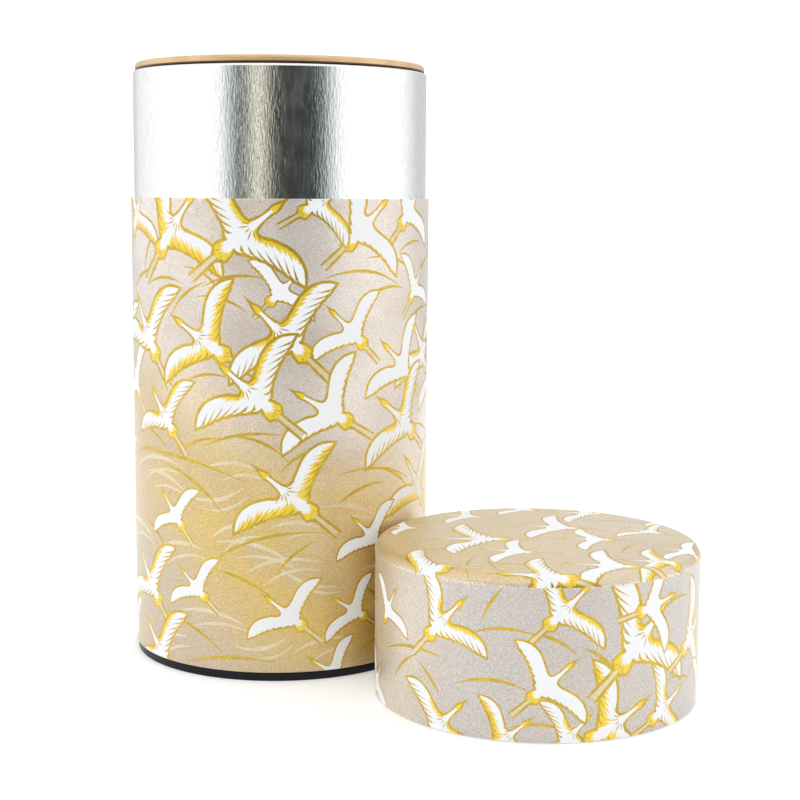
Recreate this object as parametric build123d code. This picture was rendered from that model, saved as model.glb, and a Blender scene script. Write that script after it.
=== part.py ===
"""Japanese paper-covered coffee tin, with its lid off and standing beside it.

The tin is a lap-seamed tinplate body with a necked foot, closed by a double-seamed base.  A second
tinplate tube stands inside it, and its free upper length is the collar that the outer lid slides on.
A pressed inner lid with a knob plugs the mouth.  The outer lid is a band with a pressed top, and
washi paper is glued over the body, the band and the top.

Millimetres, +Z up.  The origin is the centre of the tin's foot, on the table, and +X runs to the
centre of the outer lid.  Paper laps and tin seams all face +Y.
"""
from build123d import *
import os
from math import asin, degrees, hypot, pi

# ---- driving dimensions -------------------------------------------------------------------------
BODY_R = 46.0            # outside of the paper on the body
BODY_TOP = 141.1         # height of the body's upper edge, where the closed lid rests
SLEEVE_R = 45.0          # outside of the collar
SLEEVE_TOP = 179.0
LID_R = 46.4             # outside of the paper on the outer lid
LID_H = 44.9
LID_GAP = 0.3            # between the tin and the lid that stands beside it
SHOULDER_R = 3.2         # rounding of the lid's top edge
PAPER_BEND = 2.8         # the paper takes the shoulder a little tighter, and ends just below it
FOOT_H = 2.75            # height of the double seam under the body
FOOT_R = 45.52

TIN = 0.28               # sheet thickness of every tinplate piece
PAPER = 0.28
PLY = 0.02               # glue line between two layers that lie on each other
FOLD_PITCH = 0.31        # from layer to layer in the double seam

# ---- worked out from them -----------------------------------------------------------------------
TUBE_R = BODY_R - PAPER - PLY
BAND_R = LID_R - PAPER - PLY
LID_X = BODY_R + LID_GAP + LID_R

# ---- collar -------------------------------------------------------------------------------------
BEAD_D = 1.8             # curled bead round the mouth
MOUTH_R = SLEEVE_R - BEAD_D
SLEEVE_FOOT = 4.5
SEAM_W = 4.0             # width of the tin's lap seam

# ---- foot ---------------------------------------------------------------------------------------
NECK_TOP = 4.6           # the body necks in below this height
NECK_END = 3.5
PANEL_Z = 3.0            # underside of the base panel
HEM_H = 4.0
HEM_W = 0.6

# ---- inner lid ----------------------------------------------------------------------------------
PAN_FLOOR = 170.0
PAN_R = 42.67            # inside of the plug's wall
RIM_R = 44.27
RIM_TOP = 181.4
RIM_FOOT = SLEEVE_TOP + 0.1
RIM_BEND = 1.0           # rounding of the rim's outer edge
KNOB_R = 8.0
KNOB_TOP = 182.8
SHANK_R = 1.2
BORE_TOP = PAN_FLOOR + 6.0
HOLE_R = 1.3
WASHER_R = 5.0
WASHER_T = 0.4

# ---- outer lid ----------------------------------------------------------------------------------
CURL_D = 1.0             # curled edge round the lid's mouth
JOGGLE_Z = 38.0          # above this height the band steps in, behind the top's skirt
JOGGLE_H = 0.8
PAPER_EDGE_Z = 42.0      # where the top's paper meets the side's
PAPER_FOOT = 0.4

# ---- paper laps ---------------------------------------------------------------------------------
LAP_W = 8.0
LAP_T = 0.25


def formed(points, bends, side, thickness=TIN):
    """A ring of bent sheet: one surface follows the points, and the thickness lies to one side."""
    outline = FilletPolyline(*points, radius=bends)
    section = make_face(offset(outline, amount=thickness, side=side))
    return revolve(Plane.XZ * section, axis=Axis.Z)


def tube(outer, inner, low, high):
    """A plain ring between two radii and two heights."""
    height = high - low
    ring = Cylinder(outer, height) - Cylinder(inner, height * 2)
    return Pos(0, 0, low + height / 2) * ring


def strip(inner, outer, width, low, high):
    """A strip of a ring, of the given width, that faces +Y."""
    reach = 2 * outer
    window = Box(width, reach, 2 * high)
    return tube(outer, inner, low, high) & (Pos(0, reach / 2, 0) * window)


def turned(points):
    """A turned solid: the closed outline of its half section, spun about the axis."""
    return revolve(Plane.XZ * make_face(Polyline(*points, close=True)), axis=Axis.Z)


def inner_sleeve():
    """Full-height inner tube: collar above, curled bead at the mouth, lap seam inside."""
    low = SLEEVE_TOP - BEAD_D
    path = [(SLEEVE_R, SLEEVE_FOOT), (SLEEVE_R, SLEEVE_TOP), (MOUTH_R, SLEEVE_TOP), (MOUTH_R, low)]
    path.append((MOUTH_R + BEAD_D / 2, low))
    wall = formed(path, BEAD_D / 2 - PLY, Side.LEFT)
    bore = SLEEVE_R - TIN
    return wall + strip(bore - TIN, bore + TIN / 2, SEAM_W, SLEEVE_FOOT, low - TIN)


def body_tube():
    """Outer tube: hemmed upper edge, necked foot, and the hook that the base is seamed to."""
    wall = FOOT_R - 3 * FOLD_PITCH
    hook = wall + 2 * FOLD_PITCH - TIN
    turn = TIN + FOLD_PITCH
    path = [(TUBE_R, BODY_TOP - HEM_W), (TUBE_R, NECK_TOP), (wall, NECK_END), (wall, turn)]
    path += [(hook, turn), (hook, FOOT_H - 2 * FOLD_PITCH)]
    shell = formed(path, (hook - wall) / 2 - PLY / 2, Side.RIGHT)
    hem = tube(TUBE_R, TUBE_R - HEM_W, BODY_TOP - HEM_H, BODY_TOP)
    rim = hem.edges().filter_by(GeomType.CIRCLE).group_by(Axis.Z)[-1]
    return shell + fillet(rim, HEM_W * 0.4)


def base_plate():
    """Black base: panel with an expansion ring, countersink, and the outer folds of the seam."""
    chuck = FOOT_R - 4 * FOLD_PITCH - TIN
    hook = FOOT_R - 2 * FOLD_PITCH - TIN
    path = [(0, PANEL_Z), (33, PANEL_Z), (34, PANEL_Z + 0.6), (38, PANEL_Z + 0.6), (39, PANEL_Z)]
    path += [(chuck, PANEL_Z), (chuck, 0), (FOOT_R, 0), (FOOT_R, FOOT_H), (hook, FOOT_H)]
    path.append((hook, 3 * TIN))
    return formed(path, (FOOT_R - hook) / 2 - PLY / 2, Side.LEFT)


def body_paper():
    """Washi round the body, from the foot seam to the hem, with its glued lap."""
    wrap = tube(BODY_R, BODY_R - PAPER, FOOT_H + PLY, BODY_TOP)
    lap = strip(BODY_R - PAPER / 2, BODY_R + LAP_T, LAP_W, FOOT_H + PLY, BODY_TOP)
    return wrap + lap


def inner_lid_pan():
    """Pressed inner lid: dished floor, plug wall, and a rim that sits on the collar's bead."""
    path = [(HOLE_R, PAN_FLOOR), (29, PAN_FLOOR), (30, PAN_FLOOR + 0.8), (34, PAN_FLOOR + 0.8)]
    path += [(35, PAN_FLOOR), (PAN_R, PAN_FLOOR), (PAN_R, RIM_TOP), (RIM_R, RIM_TOP)]
    path.append((RIM_R, RIM_FOOT))
    return formed(path, (0.5,) * 6 + (RIM_BEND,), Side.RIGHT)


def inner_lid_knob():
    """Turned knob with a waisted stem and a flat-topped head, bored for its rivet."""
    foot = PAN_FLOOR + PLY
    stem = KNOB_R * 0.42
    head = KNOB_TOP - 3.2
    outline = [(WASHER_R, foot), (WASHER_R, foot + 1.0), (stem, foot + 2.6), (stem, foot + 5.4)]
    outline += [(KNOB_R, head), (KNOB_R, KNOB_TOP - 0.8), (0, KNOB_TOP)]
    skin = FilletPolyline(*outline, radius=(0.3, 1.5, 2.5, 0.6, 0.8))
    bore = Polyline((0, KNOB_TOP), (0, BORE_TOP), (HOLE_R, BORE_TOP), (HOLE_R, foot), outline[0])
    section = make_face(Curve() + [skin, bore])
    return revolve(Plane.XZ * section, axis=Axis.Z)


def knob_washer():
    """Flat washer under the pan, which spreads the rivet's pull."""
    top = PAN_FLOOR - TIN - PLY
    return tube(WASHER_R, HOLE_R, top - WASHER_T, top)


def knob_rivet():
    """Domed rivet: its head bears on the washer, and its shank fills the knob's bore."""
    seat = PAN_FLOOR - TIN - 2 * PLY - WASHER_T
    head_r = 2 * HOLE_R
    outline = [(0, seat - 1.1), (head_r * 0.6, seat - 0.9), (head_r, seat - 0.3), (head_r, seat)]
    outline += [(SHANK_R, seat), (SHANK_R, BORE_TOP - 0.2), (0, BORE_TOP - 0.2)]
    return turned(outline)


def lid_band():
    """Outer lid's wall: curled edge round the mouth, and a step in behind the top's skirt."""
    tuck = BAND_R - TIN - 2 * PLY
    path = [(tuck, PAPER_EDGE_Z - 0.5), (tuck, JOGGLE_Z + JOGGLE_H), (BAND_R, JOGGLE_Z), (BAND_R, 0)]
    path += [(BAND_R - CURL_D, 0), (BAND_R - CURL_D, CURL_D), (BAND_R - CURL_D * 0.55, CURL_D)]
    return Pos(LID_X, 0, 0) * formed(path, (0.4, 0.4, 0.48, 0.48, 0.4), Side.RIGHT)


def lid_top_plate():
    """Outer lid's pressed top: flat disc, rounded shoulder, and a skirt over the band."""
    top = LID_H - PAPER - PLY
    shoulder = SHOULDER_R - PAPER - PLY
    path = [(0, top), (BAND_R, top), (BAND_R, JOGGLE_Z + JOGGLE_H + 0.1)]
    return Pos(LID_X, 0, 0) * formed(path, shoulder, Side.RIGHT)


def lid_top_paper():
    """Washi on the lid's top, turned down over the shoulder."""
    path = [(0, LID_H), (LID_R, LID_H), (LID_R, PAPER_EDGE_Z - PLY)]
    paper = formed(path, PAPER_BEND, Side.RIGHT, PAPER)
    return Pos(LID_X, 0, 0) * paper


def lid_side_paper():
    """Washi round the lid's band, with its glued lap."""
    high = PAPER_EDGE_Z - 2 * PLY
    wrap = tube(LID_R, LID_R - PAPER, PAPER_FOOT, high)
    lap = strip(LID_R - PAPER / 2, LID_R + LAP_T, LAP_W, PAPER_FOOT, high)
    return Pos(LID_X, 0, 0) * (wrap + lap)


PIECES = [inner_sleeve, body_tube, base_plate, body_paper, inner_lid_pan, inner_lid_knob, knob_washer,
          knob_rivet, lid_band, lid_top_plate, lid_top_paper, lid_side_paper]

os.makedirs("parts", exist_ok=True)
for piece in PIECES:
    export_step(piece(), f"parts/{piece.__name__}.step")
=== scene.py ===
"""A washi-covered coffee tin with its lid off: looks, light and camera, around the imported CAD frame.

Blender works in metres.  The pieces are worked out in millimetres, in the tin's own frame, and are
scaled as their meshes are made.  The printed papers are drawn flat, cut into faces by colour, and
then wrapped round the tin and over its lid, so that every edge of the print is a real edge.
"""
import bmesh
import bpy
import numpy as np
from math import acos, atan2, cos, hypot, pi, radians, sin, tan
from mathutils import Matrix, Vector
from mathutils.geometry import delaunay_2d_cdt


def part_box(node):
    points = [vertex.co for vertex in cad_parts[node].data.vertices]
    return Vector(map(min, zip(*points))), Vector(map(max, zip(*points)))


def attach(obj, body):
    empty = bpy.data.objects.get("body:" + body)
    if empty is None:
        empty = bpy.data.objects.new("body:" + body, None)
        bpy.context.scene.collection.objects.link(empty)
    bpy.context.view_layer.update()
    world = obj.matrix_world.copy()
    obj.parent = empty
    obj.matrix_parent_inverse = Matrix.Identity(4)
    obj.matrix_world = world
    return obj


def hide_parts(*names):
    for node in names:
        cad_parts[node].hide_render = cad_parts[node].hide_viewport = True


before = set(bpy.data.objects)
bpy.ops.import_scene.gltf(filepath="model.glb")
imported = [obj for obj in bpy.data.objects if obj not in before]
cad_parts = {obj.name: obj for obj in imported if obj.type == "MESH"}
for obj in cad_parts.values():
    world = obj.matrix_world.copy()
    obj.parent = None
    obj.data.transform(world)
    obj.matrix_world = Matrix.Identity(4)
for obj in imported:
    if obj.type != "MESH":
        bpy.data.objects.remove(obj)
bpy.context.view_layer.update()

# ---- sizes, in mm -----------------------------------------
MM = 0.001


def span(part, axis):
    """A CAD node's lowest and highest coordinate along an axis, in mm."""
    low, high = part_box(part)
    return low[axis] / MM, high[axis] / MM


BODY_R = span("body_paper", 0)[1]
BODY_FOOT, BODY_TOP = span("body_paper", 2)
SLEEVE_R = span("inner_sleeve", 0)[1]
SLEEVE_FOOT, SLEEVE_TOP = span("inner_sleeve", 2)
FOOT_R, FOOT_H = span("base_plate", 0)[1], 2.75
RIM_R, RIM_TOP = span("inner_lid_pan", 0)[1], span("inner_lid_pan", 2)[1]
KNOB_R = span("inner_lid_knob", 0)[1]
PAN_FLOOR, KNOB_TOP = span("inner_lid_knob", 2)
LID_LEFT, LID_RIGHT = span("lid_side_paper", 0)
LID_R, LID_X = (LID_RIGHT - LID_LEFT) / 2, (LID_RIGHT + LID_LEFT) / 2
LID_FOOT, LID_EDGE = span("lid_side_paper", 2)
TOP_EDGE, LID_H = span("lid_top_paper", 2)

TIN, PAPER, PLY = 0.28, 0.28, 0.02  # sheet, paper, and the glue between two layers
TUBE_R, BAND_R = BODY_R - PAPER - PLY, LID_R - PAPER - PLY
SHOULDER_R = 3.2  # rounding of the lid's top edge
BEAD_D, CURL_D = 1.8, 1.0  # curled edges of the collar and of the lid
FOLD_PITCH = 0.31  # from layer to layer in the double seam
NECK_TOP, NECK_END, PANEL_Z = 4.6, 3.5, 3.0
LAP_W, LAP_RISE, LAP_RAMP = 8.0, PAPER + 0.01, 3.0
EDGE_LIFT = 0.15  # how far the top paper's edge stands off, unevenly
SEAM_W = 4.0  # the tinplate's lap seams
RIM_BEND = 1.0  # rounding of the inner lid's rim
WASHER_R, HOLE_R, SHANK_R = 5.0, 1.3, 1.2
HEM_H = 4.0  # the body's upper edge is turned in this far
JOGGLE_Z, JOGGLE_H = 38.0, 0.8  # where the lid's band steps in behind the top's skirt
BASE_RING = (33, 34, 38, 39)  # radii of the raised rings in the base and the inner lid
BASE_RING_H, PAN_RING, PAN_RING_H = 0.6, (29, 30, 34, 35), 0.8

# the camera: degrees and metres, from the tin's axis
CAMERA_BEARING = 38.01  # round the tin from the -Y side
CAMERA_DISTANCE, CAMERA_HEIGHT = 0.50212, 0.14423
CAMERA_TURN, CAMERA_DIP, CAMERA_ROLL = 4.284, 7.553, 0.402
LENS, SENSOR, CLIP_START = 71.83, 36, 0.01  # mm, mm, metres
FACING = radians(CAMERA_BEARING - 90)  # where the printed panels are centred

# ---- artwork: a flock of cranes, drawn flat in mm ---------
GROUND, INK, YELLOW, WHITE, WASH, EDGE = range(6)
OUTSIDE = -1
# one side of a crane that flies along +Y: a wing's front and back edges run from the body to the tip
WING_FRONT = [(0.7, 4.6), (1.3, 3.1), (3.3, 2.6), (6.6, 3.5), (10.4, 4.6), (14.2, 4.6), (17.6, 3.1)]
WING_BACK = [(0.9, -5.2), (2.0, -3.5), (4.4, -1.9), (7.6, -0.8), (10.8, 0), (14.0, 0.4), (17.2, 0.3)]
WING_TIP = [(20.0, 0.6)]
BODY_SIDE = [(0.7, 4.8), (1.5, 2.6), (2.0, 0.2), (1.8, -2.4), (1.3, -4.6), (0.8, -6.0)]
NECK_SIDE = [(0.42, 9.4), (0.5, 7.2), (0.8, 4.2)]
HEAD_SIDE = [(0.1, 12.3), (0.45, 11.2), (0.78, 10.3), (0.7, 9.5), (0.35, 8.9)]
BILL_SIDE = [(0.04, 15.8), (0.42, 13.3), (1.0, 11.7), (1.3, 10.4), (1.1, 8.8), (1.1, 6.4), (1.4, 4.4)]
TAIL_SIDE = [(0, -9.2), (0.5, -8.7), (1.15, -9.0), (1.5, -8.2), (2.25, -7.9), (2.2, -6.4), (1.5, -4.6)]
TAIL_TEETH = [(1.5, -4.6), (1.35, -6.3), (0.95, -5.6), (0.75, -7.0), (0.35, -6.1), (0, -7.4)]
WING_ROOT = [(0, -5.2), (0, 4.6)]
LEG_LENGTH, LEG_APART = 10.0, 1.0
OUTLINE, FEATHERS = 0.85, 8
SLANT = 0.29  # how much of the wing's length a feather leans over its width

# where the cranes fly: x, y, heading, size, style, and how far the right and left wings are swept.
# x is measured round the paper from where it faces the camera, y is the height, and a panel repeats.
PANEL = 126.0
BODY_FLOCK = [
    (-56, 136, 55, 0.85, "banded", 2, 10), (-35, 132, 50, 1.1, "banded", 2, 20),
    (45, 138, 45, 0.85, "plain", 4, 6), (25, 133, 42, 0.95, "plain", -1, 22),
    (11, 140, 30, 0.75, "fingered", 2, 10), (0, 115, 45, 0.62, "plain", 2, -4),
    (-11, 131, 38, 1.15, "fingered", 12, -8), (49, 115, 50, 0.65, "plain", 10, 8),
    (-60, 86, 135, 0.8, "plain", 0, 10), (56, 95, 132, 1, "fingered", 2, 14),
    (-48, 101, 127, 1.05, "fingered", 3, 30), (-23, 100, 150, 1, "banded", 3, 20),
    (41, 92, 140, 0.85, "plain", 8, 20), (21, 103, 136, 0.75, "plain", 2, 12),
    (1, 102, 136, 1.05, "fingered", -3, 4), (42, 75, 145, 1, "fingered", 1, 16),
    (-39, 77, 130, 0.8, "fingered", 1, 18), (14, 80, 150, 0.92, "plain", 3, 18),
    (-8, 85, 140, 1.05, "fingered", 4, 20), (3, 55, 140, 1, "banded", 0, 18),
    (52, 54, 132, 0.95, "banded", 0, 20), (28, 42, 137, 0.66, "plain", -4, 18),
    (-35, 48, 130, 0.62, "plain", -2, 6), (-48, 25, 133, 0.9, "fingered", 0, 18),
    (-27, 27, 138, 0.6, "plain", -1, 16), (2, 20, 140, 0.7, "plain", -3, 20),
    (22, 20, 147, 0.62, "plain", -1, 12), (47, 26, 138, 0.7, "plain", 3, 14),
    (-43, 5, 135, 0.9, "fingered", 0, 12), (15, 2, 146, 0.62, "plain", 0, 12),
    (62, 8, 140, 0.6, "plain", 2, 16),
]
LID_FLOCK = [
    (-57, 29, 55, 0.6, "plain", 4, 6), (-34, 30, 46, 0.78, "fingered", 15, 22),
    (0, 36, 45, 0.75, "fingered", 0, 8), (-15, 1, 40, 0.65, "banded", 2, 6),
    (2, 2, 45, 0.62, "fingered", 0, 4), (-4, 16, 42, 0.72, "plain", 1, 5),
    (-34, 2, 45, 0.8, "fingered", 4, -8), (14, 4, 28, 0.95, "banded", 3, 10),
    (32, 6, 27, 0.75, "fingered", 2, 6), (22, 26, 45, 1.12, "fingered", 8, 18),
    (27, 35, 12, 0.7, "plain", 6, 14), (47, 23, 30, 0.85, "fingered", -10, 24),
    (58, 5, 50, 0.66, "plain", 2, 8),
]
TOP_FLOCK = [
    (2, 42, 145, 0.6, "plain", 3, 8), (-17, 32, 160, 0.6, "plain", 4, 12),
    (20, 35, 165, 0.75, "fingered", 6, 10), (42, 22, 150, 0.52, "plain", 2, 8),
    (8, 15, 160, 0.85, "plain", 10, 14), (34, 8, 136, 0.62, "fingered", 4, 12),
    (-17, 0, 176, 1, "fingered", 8, 22), (16, -2, 171, 0.7, "plain", 13, 9),
    (-9, -16, 160, 0.72, "plain", 5, 8), (39, -18, 150, 0.62, "plain", 4, 8),
    (28, -30, 166, 0.75, "banded", 6, 4), (14, -34, 165, 0.9, "plain", 8, 12),
    (-36, -31, 165, 0.9, "fingered", 8, 10), (-5, -44, 165, 0.95, "fingered", 8, 12),
    (-37, 16, 170, 0.5, "plain", 4, 8),
]
# the grass that arches between them: x, y, heading, length and curl
BODY_GRASS = [
    (-39, 116, 4, 16, 0.5), (-24, 118, -30, 14, 0.5), (-50, 117, 22, 18, 0.4), (26, 117, -6, 27, 0.5),
    (33, 113, 12, 18, 0.5), (46, 127, 12, 13, 0.4), (-12, 71, 10, 26, 0.35), (-7, 69, -22, 20, 0.5),
    (6, 66, 30, 15, 0.4), (31, 59, -8, 29, 0.4), (25, 55, 18, 17, 0.4), (56, 70, -20, 18, 0.4),
    (-33, 62, -7, 46, 0.3), (-28, 56, -32, 26, 0.4), (-52, 64, 14, 22, 0.3), (-4, 40, 14, 34, 0.4),
    (4, 37, 40, 16, 0.3), (-12, 29, -24, 22, 0.3), (-30, 13, -22, 26, 0.35), (36, 9, 8, 24, 0.4),
    (-16, 5, 4, 28, 0.25), (50, 38, 14, 20, 0.4), (-23, 89, 8, 14, 0.4), (52, 106, 16, 16, 0.5),
    (-46, 126, 60, 14, 0.3), (-29, 112, 38, 17, 0.4), (-14, 117, 8, 20, 0.4), (-18, 111, -14, 16, 0.4),
    (36, 122, -12, 20, 0.4), (57, 121, 30, 14, 0.3), (-26, 69, 22, 16, 0.4), (-46, 70, -20, 18, 0.4),
    (-44, 40, -36, 16, 0.3), (-10, 47, 42, 14, 0.3), (30, 22, -40, 18, 0.3), (38, 58, -30, 16, 0.3),
]
LID_GRASS = [
    (-16, 29, 2, 17, 0.4), (-3, 27, -24, 14, 0.4), (-19, 14, 0, 21, 0.5), (-45, 19, 6, 25, 0.35),
    (-48, 15, 42, 13, 0.3), (-38, 14, -46, 11, 0.2), (36, 34, 10, 14, 0.4), (-7, 4, 0, 14, 0.4),
    (-19, 37, 58, 11, 0.2), (10, 22, -38, 13, 0.3), (54, 13, 8, 20, 0.4), (40, 12, -14, 12, 0.4),
]
TOP_GRASS = [
    (-22, -30, 75, 20, 0.3), (-16, -33, 100, 16, 0.3), (-12, -32, -18, 14, 0.3), (8, -40, 85, 12, 0.2),
    (-30, 22, 12, 22, 0.3), (26, 22, -14, 20, 0.3), (24, -14, 60, 14, 0.3), (-30, -14, 18, 18, 0.3),
]
# paler strokes of cloud under the lower cranes: the same five numbers
BODY_CLOUDS = [
    (-44, 61, 5, 26, 0.5), (-40, 57, -12, 20, 0.5), (-20, 56, 12, 18, -0.5), (-8, 38, -16, 24, 0.5),
    (0, 34, 8, 22, 0.5), (-14, 44, 14, 16, 0.6), (8, 31, -20, 18, -0.4), (-34, 37, 8, 20, 0.5),
    (-22, 18, -6, 22, 0.4), (12, 10, 10, 18, 0.5), (-6, 12, 12, 16, -0.5), (34, 30, -10, 20, 0.5),
    (40, 50, 14, 18, 0.5), (-56, 40, -8, 20, 0.5), (56, 22, 12, 18, -0.5), (-38, 9, 16, 16, 0.4),
    (20, 50, -12, 18, 0.4), (-14, 63, -4, 16, 0.5), (30, 66, 10, 16, -0.4), (4, 46, -2, 14, 0.5),
]


def between(a, b, t):
    """The point a share t of the way from a to b."""
    return (a[0] + (b[0] - a[0]) * t, a[1] + (b[1] - a[1]) * t)


def smooth(points, closed=False):
    """A Catmull-Rom curve through the points."""
    count = len(points)
    line = []
    for i in range(count if closed else count - 1):
        near = [i + k if closed else min(max(i + k, 0), count - 1) for k in (-1, 0, 1, 2)]
        p = [points[k % count] for k in near]
        for t in (0, 0.5):
            pull = (-t + 2 * t * t - t ** 3, 2 - 5 * t * t + 3 * t ** 3,
                    t + 4 * t * t - 3 * t ** 3, -t * t + t ** 3)
            line.append(tuple(sum(w * q[axis] for w, q in zip(pull, p)) / 2 for axis in (0, 1)))
    return line if closed else line + [points[-1]]


def along(line, t):
    """The point a share t of the way along a line's points."""
    spot = min(max(t, 0), 1) * (len(line) - 1)
    index = min(int(spot), len(line) - 2)
    return between(line[index], line[index + 1], spot - index)


def shifted(line, width, closed=False):
    """A line moved to the right of the way that it runs, with its sharp corners cut short."""
    last = len(line) - 1
    moved = []
    for i, (x, y) in enumerate(line):
        before = line[i - 1] if i or closed else None
        after = line[(i + 1) % len(line)] if i < last or closed else None
        first = atan2(y - before[1], x - before[0]) if before else atan2(after[1] - y, after[0] - x)
        turn = (atan2(after[1] - y, after[0] - x) - first + pi) % (2 * pi) - pi if after else 0
        reach = width / max(cos(turn / 2), 0.6)
        moved.append((x + reach * sin(first + turn / 2), y - reach * cos(first + turn / 2)))
    return moved


def anticlockwise(outline):
    """A closed outline that runs anticlockwise."""
    area = sum(a[0] * b[1] - b[0] * a[1] for a, b in zip(outline, outline[1:] + outline[:1]))
    return outline if area > 0 else outline[::-1]


def grown(outline, width):
    """A closed outline moved outward."""
    return shifted(anticlockwise(outline), width, True)


def stroke(line, width, taper=0.2):
    """A brush stroke along a line, thin at both ends."""
    last = len(line) - 1
    left, right = [], []
    for i, (x, y) in enumerate(line):
        a, b = line[max(i - 1, 0)], line[min(i + 1, last)]
        length = hypot(b[0] - a[0], b[1] - a[1])
        half = width / 2 * (taper + (1 - taper) * min(1, 2.5 * min(i, last - i) / last)) / length
        left.append((x - (b[1] - a[1]) * half, y + (b[0] - a[0]) * half))
        right.append((x + (b[1] - a[1]) * half, y - (b[0] - a[0]) * half))
    return left + right[::-1]


def both_sides(half):
    """A half outline and its mirror image, closed."""
    return half + [(-x, y) for x, y in reversed(half)]


def swung(points, side, sweep):
    """Wing points on one side of the body, swung forward by the sweep in degrees."""
    turned = []
    for x, y in points:
        out = max(x - 1.5, 0)
        angle = radians(sweep) * min(1, out / 5)
        wide = min(x, 1.5) + out * cos(angle) - min(out / 3, 1) * y * sin(angle)
        turned.append((side * wide, y + out * sin(angle)))
    return turned


def joints():
    """Where the flight feathers meet, as shares of the wing's length, from the tip inward."""
    return [0.985 - 0.895 * k / FEATHERS for k in range(FEATHERS + 1)]


def inside(far, near, t, depth, lean=-SLANT):
    """A point of the wing, reached from its nearer edge along the lie of the feathers."""
    at = t + lean * depth
    return between(along(near, at), along(far, at), depth)


def slits(front, back, deepest):
    """Thin slanting cuts between the flight feathers, from the wing's back edge inward."""
    cuts = []
    for t in joints()[1:-1]:
        depth = deepest * min(1, 0.3 + t)
        near, far = (inside(front, back, t + k, -0.05) for k in (-0.025, 0.025))
        cuts.append((INK, [near, inside(front, back, t, depth), far]))
    return cuts


def feather_tips(front, back, notch):
    """The back edge of the wing: each feather's rounded tip, and the notch before the next."""
    edge = []
    for t, then in zip(joints(), joints()[1:]):
        for share, reach in ((0.1, -0.13), (0.4, -0.12), (0.75, -0.04)):
            edge.append(inside(front, back, t + (then - t) * share, reach))
        edge.append(inside(front, back, then, notch))
    return edge


def back_band(front, back, edge):
    """Yellow along the back of the wing, with long slanting streaks of white that run into it."""
    inner = []
    for k in range(14):
        t = 0.12 + 0.86 * k / 13
        inner.append(inside(front, back, t, 0.5 + 0.1 * (k % 2)))
        inner.append(inside(front, back, t + 0.012, 0.06 + 0.08 * (k % 3)))
    return [(YELLOW, edge[:-1] + inner)]


def front_band(front, back, depth, end):
    """A yellow band along the front of the wing, streaked on its inner side."""
    outer, inner = [], []
    streaks = 22
    for i in range(streaks + 1):
        t = 0.04 + (end - 0.04) * i / streaks
        fade = min(1, 3 * i / streaks + 0.4, 3 * (1 - i / streaks) + 0.1)
        outer.append(along(front, t))
        inner.append(inside(back, front, t, fade * depth * (1, 0.4, 0.8, 0.3)[i % 4], SLANT))
    return [(YELLOW, outer + inner[::-1])]


def wing(side, style, sweep):
    """One wing: its outline, its white, and the marks of its style."""
    front, back = (swung(smooth(line + WING_TIP), side, sweep) for line in (WING_FRONT, WING_BACK))
    edge = feather_tips(front, back, {"plain": 0.0, "banded": 0.0, "fingered": 0.16}[style])
    shape = front + edge + [along(back, 0.05)] + WING_ROOT
    marks = []
    if style == "banded":
        marks = back_band(front, back, edge) + slits(front, back, 0.34)
    if style == "fingered":
        marks = front_band(front, back, 0.42, 0.8 if side > 0 else 0.5) + slits(front, back, 0.54)
    return (INK, grown(shape, OUTLINE)), (WHITE, shape), marks


def legs():
    """Two trailing legs, with a pale fill between them."""
    down = TAIL_SIDE[0][1] + 0.9
    foot = down - LEG_LENGTH
    pair = [(WASH, stroke([(0, down), (0, foot + 0.8)], 2 * LEG_APART, 0.9))]
    for x in (-LEG_APART, LEG_APART):
        pair.append((INK, stroke([(x * 0.8, down), (x, (down + foot) / 2), (x * 1.1, foot)], 0.85, 0.7)))
    return pair


def ruff():
    """Strokes that fan out round the foot of the neck."""
    strokes = []
    for i in range(7):
        angle = radians(193 + 25.7 * i)
        far = 4.6 - 1.3 * (i % 2)
        start, end = [(r * cos(angle), 3.4 + 0.8 * r * sin(angle)) for r in (1.3, far)]
        strokes.append((INK, stroke([start, between(start, end, 0.5), end], 0.42, 0.3)))
    return strokes


def crane(style, sweeps):
    """A flying crane as (colour, outline) layers, from the bottom one up."""
    tail = smooth(both_sides(TAIL_SIDE), True)
    body = both_sides(BODY_SIDE)
    teeth = TAIL_TEETH + [(-x, y) for x, y in TAIL_TEETH[-2::-1]]
    under = legs() + [(INK, smooth(both_sides(BILL_SIDE), True)), (INK, grown(tail, OUTLINE * 0.8))]
    over = [(YELLOW, tail), (YELLOW, smooth(both_sides(HEAD_SIDE), True))]
    marks = []
    for side, sweep in zip((1, -1), sweeps):
        rim, white, extra = wing(side, style, sweep)
        under.append(rim)
        over.append(white)
        marks += extra
    over.append((WHITE, body[:5] + teeth + body[-5:]))
    over.append((WHITE, both_sides(NECK_SIDE)))
    for x in (-1.2, 0, 1.2):
        marks.append((INK, stroke([(x, -8.6), (x * 0.85, -7.8), (x * 0.7, -7.2)], 0.3, 0.3)))
    return under + over + marks + (ruff() if style != "plain" else [])


def laid(layers, x, y, heading, size):
    """Layers moved to a place on the sheet and turned to a heading, in degrees from +X."""
    turn = radians(heading - 90)
    right, up = (size * cos(turn), size * sin(turn)), (-size * sin(turn), size * cos(turn))
    return [(colour, [(x + px * right[0] + py * up[0], y + px * right[1] + py * up[1]) for px, py in outline])
            for colour, outline in layers]


def blade(x, y, heading, length, curl, width, colour):
    """A curved stroke of grass or cloud."""
    shares = [i / 8 - 0.5 for i in range(9)]
    line = [(length * t, -curl * length * (t * t - 0.25)) for t in shares]
    return laid([(colour, stroke(line, width))], x, y, heading + 90, 1)


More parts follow.
